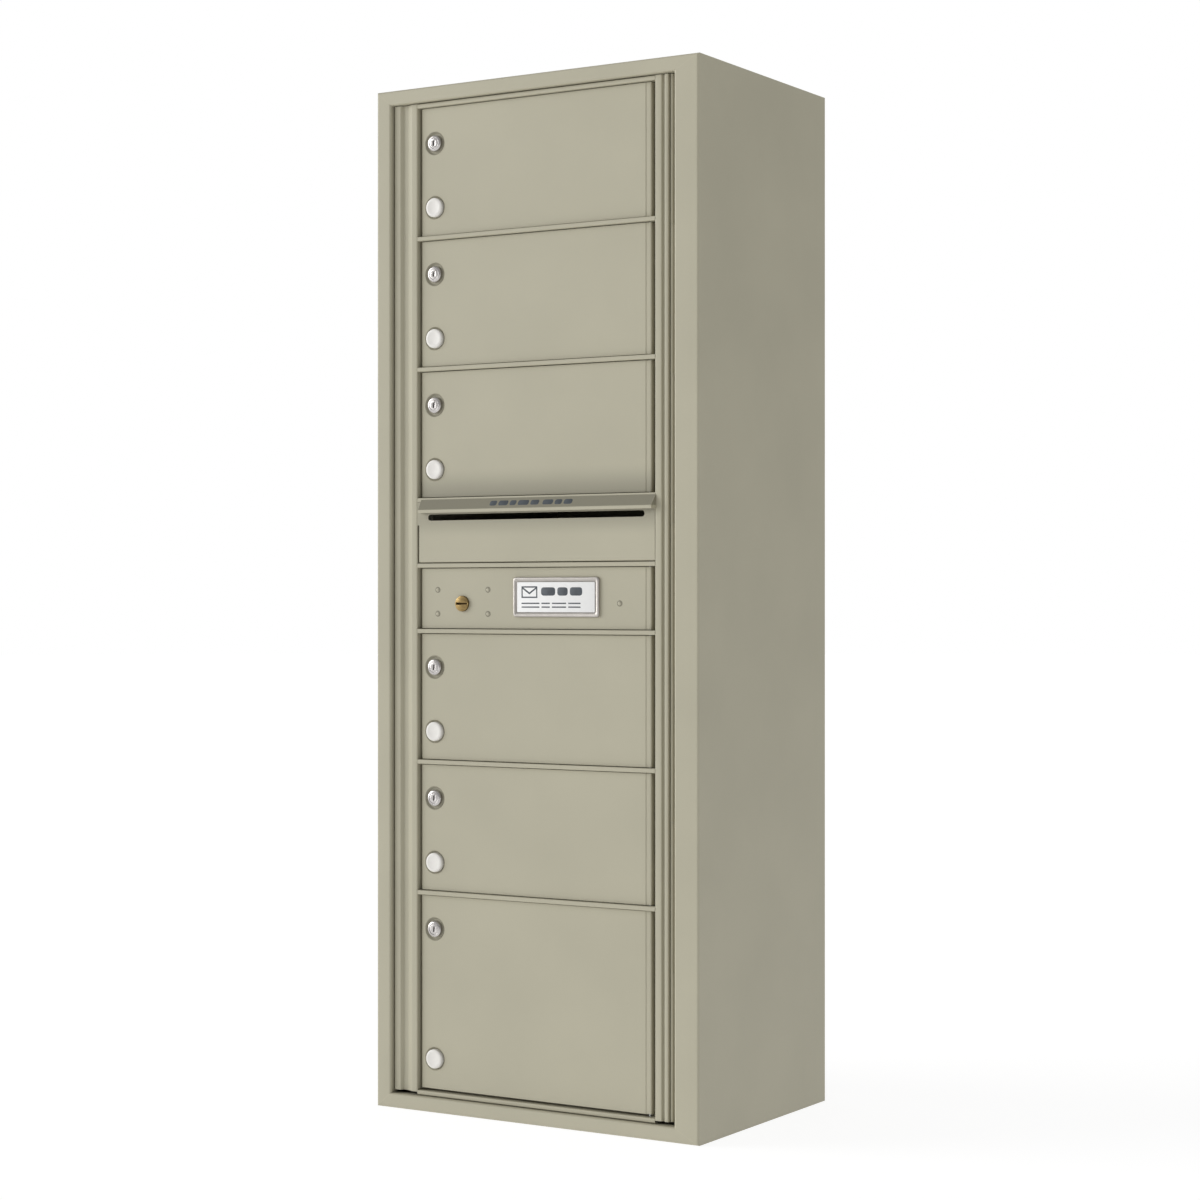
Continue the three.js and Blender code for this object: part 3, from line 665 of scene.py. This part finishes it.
def add_number_disc(number):
    low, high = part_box(f"number_disc_{number}")
    radius = (high.x - low.x) / 2
    thick = high.y - low.y
    centre = (middle(low.x, high.x), low.y, middle(low.z, high.z))
    profile = [
        (0, 0.3 * MM), (radius * 0.6, 0.3 * MM), (radius * 0.66, 0.1 * MM), (radius * 0.76, 0),
        (radius * 0.9, 0.2 * MM), (radius * 0.97, 0.7 * MM), (radius, 1.5 * MM),
        (radius, thick), (0, thick),
    ]
    disc = turned(f"number_button_{number}", profile, centre)
    finish_piece(disc, f"tenant_door_{number}", WHITE, f"number_disc_{number}")


# ---- The carrier's lock, the notice plate and the hood's mark ----


def add_carrier_plug():
    low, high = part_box("carrier_lock_plug")
    radius = (high.x - low.x) / 2
    centre = (middle(low.x, high.x), low.y, middle(low.z, high.z))
    thickness = 3.2 * MM
    groove = rounded_outline(*PLUG_GROOVE, 0.6 * MM, 3)
    place = Matrix.Translation(centre)
    face = plate("carrier_plug_face", [round_outline(radius), groove], thickness, 0.35 * MM, place)
    finish_piece(face, "carrier_plug", BRASS, "carrier_lock_plug")
    # The body behind the face is dark: painted shade seen in the groove.
    back = high.y - low.y - thickness
    body = turned("carrier_plug_body", [(0, 0), (radius, 0), (radius, back), (0, back)],
                  (centre[0], centre[1] + thickness, centre[2]))
    finish_piece(body, "carrier_plug", BRASS_SHADE)


def add_stud(name, x, z, front):
    """A low round stud head on the lock panel, with a thin dark ring of painted shade round it."""
    dome = [(0, 1), (0.55, 0.9), (0.86, 0.45), (1, 0)]
    profile = [(share * STUD_RADIUS, -height * STUD_PROUD) for share, height in dome]
    profile += [(STUD_RADIUS, 0.3 * MM), (0, 0.3 * MM)]
    head = turned(name, profile, (x, front, z), 24)
    finish_piece(head, "master_door", DOOR_PAINT, sharp=50)
    # The ring is painted shade round the head.
    ring_proud = 0.18 * MM
    ring_profile = [(0, -ring_proud), (STUD_RING - ring_proud, -ring_proud), (STUD_RING, 0), (0, 0)]
    ring = turned(f"{name}_ring", ring_profile, (x, front, z), 24)
    finish_piece(ring, "master_door", STUD_SHADE)


def add_studs():
    low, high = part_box("lock_panel")
    plug_low, plug_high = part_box("carrier_lock_plug")
    x = middle(plug_low.x, plug_high.x)
    z = middle(plug_low.z, plug_high.z)
    number = 0
    for side in (-1, 1):
        for level in (-1, 1):
            number += 1
            add_stud(f"panel_stud_{number}", x + side * STUD_ACROSS, z + STUD_MIDDLE + level * STUD_UP, low.y)
    add_stud("panel_stud_5", high.x - LONE_STUD, z + 0.5 * MM, low.y)


def add_notice_plate():
    low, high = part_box("notice_plate_frame")
    wide = high.x - low.x
    tall = high.z - low.z
    centre = Vector((middle(low.x, high.x), 0, middle(low.z, high.z)))
    card_low, card_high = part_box("notice_plate")
    rim_wide = card_low.x - low.x

    def outline_at(inset):
        corner = max(4 * MM - inset * 0.5, 0.8 * MM)
        points = rounded_outline(wide - 2 * inset, tall - 2 * inset, corner)
        return [(x + centre.x, z + centre.z) for x, z in points]

    front, back = low.y, high.y
    steps = [
        (0, back), (0, front + 1.4 * MM), (0.35 * MM, front + 0.6 * MM),
        (1.1 * MM, front + 0.12 * MM), (2 * MM, front), (3.6 * MM, front + 0.1 * MM),
        (4.6 * MM, front + 0.8 * MM), (rim_wide - 0.4 * MM, front + 1.6 * MM),
        (rim_wide, front + 2 * MM), (rim_wide, back),
    ]
    frame_rim = rim("notice_rim", outline_at, steps)
    finish_piece(frame_rim, "master_door", FRAME_METAL, "notice_plate_frame")

    card_wide = card_high.x - card_low.x
    card_tall = card_high.z - card_low.z
    card_front = card_low.y
    place = Matrix.Translation((centre.x, card_front, centre.z))
    card_thick = card_high.y - card_low.y
    card = plate("notice_card", [rounded_outline(card_wide, card_tall, 1 * MM)], card_thick, 0.1 * MM, place)
    finish_piece(card, "master_door", CARD, "notice_plate")
    add_card_print(centre, card_wide, card_tall, card_front)


def add_print(name, outlines, x, z, front, slope=0):
    """A thin printed mark, a tenth of a millimetre proud of the face it lies on."""
    place = Matrix.Translation((x, front - 0.1 * MM, z)) @ Matrix.Rotation(slope, 4, "X")
    mark = plate(name, outlines, 0.14 * MM, 0.02 * MM, place)
    return finish_piece(mark, "master_door", INK)


def bar(wide, high):
    return rounded_outline(wide, high, high * 0.3, 2)


def add_card_print(centre, wide, tall, front):
    """An envelope and plain bars where a notice would be: no lettering."""
    left = centre.x - wide / 2
    envelope_wide, envelope_high = ENVELOPE
    x = left + CARD_MARGIN + envelope_wide / 2
    z = centre.z + tall / 2 - 5.5 * MM - envelope_high / 2
    line = ENVELOPE_LINE
    a, b = envelope_wide / 2, envelope_high / 2
    outside = [(-a, -b), (a, -b), (a, b), (-a, b)]
    flap = [(-a + line * 1.6, b - line), (0, -b * 0.05), (a - line * 1.6, b - line)]
    inner_side, inner_top, inner_foot = a - line, b - line * 1.9, -b + line
    lower = [(-inner_side, inner_top), (-inner_side, inner_foot), (inner_side, inner_foot),
             (inner_side, inner_top), (0, -b * 0.05 - line * 1.5)]
    add_print("card_envelope", [outside, flap, lower], x, z, front)
    bar_left = x + envelope_wide / 2 + 6 * MM
    for i, (length, start) in enumerate(CARD_TITLE, 1):
        middle_x = bar_left + start + length / 2
        add_print(f"card_title_{i}", [bar(length, CARD_TITLE_HIGH)], middle_x, z + 0.8 * MM, front)
    for row, level in enumerate(CARD_ROWS, 1):
        start = left + CARD_MARGIN
        for i, share in enumerate(CARD_LINES, 1):
            length = (wide - 20 * MM) * share
            outlines = [bar(length, CARD_LINE_HIGH)]
            add_print(f"card_line_{row}_{i}", outlines, start + length / 2, centre.z + level, front)
            start += length + CARD_LINE_GAP


def add_hood_mark():
    """A short row of plain dark bars on the hood's sloping face."""
    low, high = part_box("outgoing_mail_hood")
    top = Vector((0, high.y, high.z))
    lip = Vector((0, low.y, low.z + HOOD_LIP))
    along = (lip - top).normalized()
    slope = math.atan2(-along.y, -along.z)
    centre = (top + lip) / 2
    total = sum(length * MM for length in HOOD_MARKS) + HOOD_MARK_GAP * (len(HOOD_MARKS) - 1)
    x = middle(low.x, high.x) - HOOD_MARK_LEFT - total / 2
    for i, length in enumerate(HOOD_MARKS, 1):
        wide = length * MM
        if wide:
            outlines = [bar(wide, HOOD_MARK_HIGH)]
            add_print(f"hood_mark_{i}", outlines, x + wide / 2, centre.z, centre.y, -slope)
        x += wide + HOOD_MARK_GAP


# ---- Fixings on the back and inside ----


def add_back_screws():
    """Countersunk screws round the back panel's edge."""
    low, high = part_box("case_back_panel")
    inset = BACK_SCREW_INSET
    number = 0
    for row in range(BACK_SCREW_ROWS):
        z = low.z + inset + (high.z - low.z - 2 * inset) * row / (BACK_SCREW_ROWS - 1)
        for x in (low.x + inset, high.x - inset):
            number += 1
            add_back_screw(number, x, z, high.y)
    for z in (low.z + inset, high.z - inset):
        number += 1
        add_back_screw(number, middle(low.x, high.x), z, high.y)


def add_back_screw(number, x, z, face):
    radius = 4 * MM
    proud = 0.35 * MM
    cross = [(-0.55, -2.3), (0.55, -2.3), (0.55, -0.55), (2.3, -0.55), (2.3, 0.55), (0.55, 0.55),
             (0.55, 2.3), (-0.55, 2.3), (-0.55, 0.55), (-2.3, 0.55), (-2.3, -0.55), (-0.55, -0.55)]
    cross = [(px * MM, pz * MM) for px, pz in cross]
    place = Matrix.Translation((x, face + proud, z)) @ Matrix.Rotation(math.pi, 4, "Z")
    head = plate(f"back_screw_{number}", [round_outline(radius, 32), cross], 0.9 * MM, 0.12 * MM, place)
    finish_piece(head, "cabinet", ZINC)


add_camera()
add_floor()
add_light()
bpy.context.scene.view_settings.view_transform = "Standard"
finish_cad_nodes()
for door_number in DOORS:
    add_tenant_lock(door_number)
    add_number_disc(door_number)
add_carrier_plug()
add_studs()
add_notice_plate()
add_hood_mark()
add_back_screws()
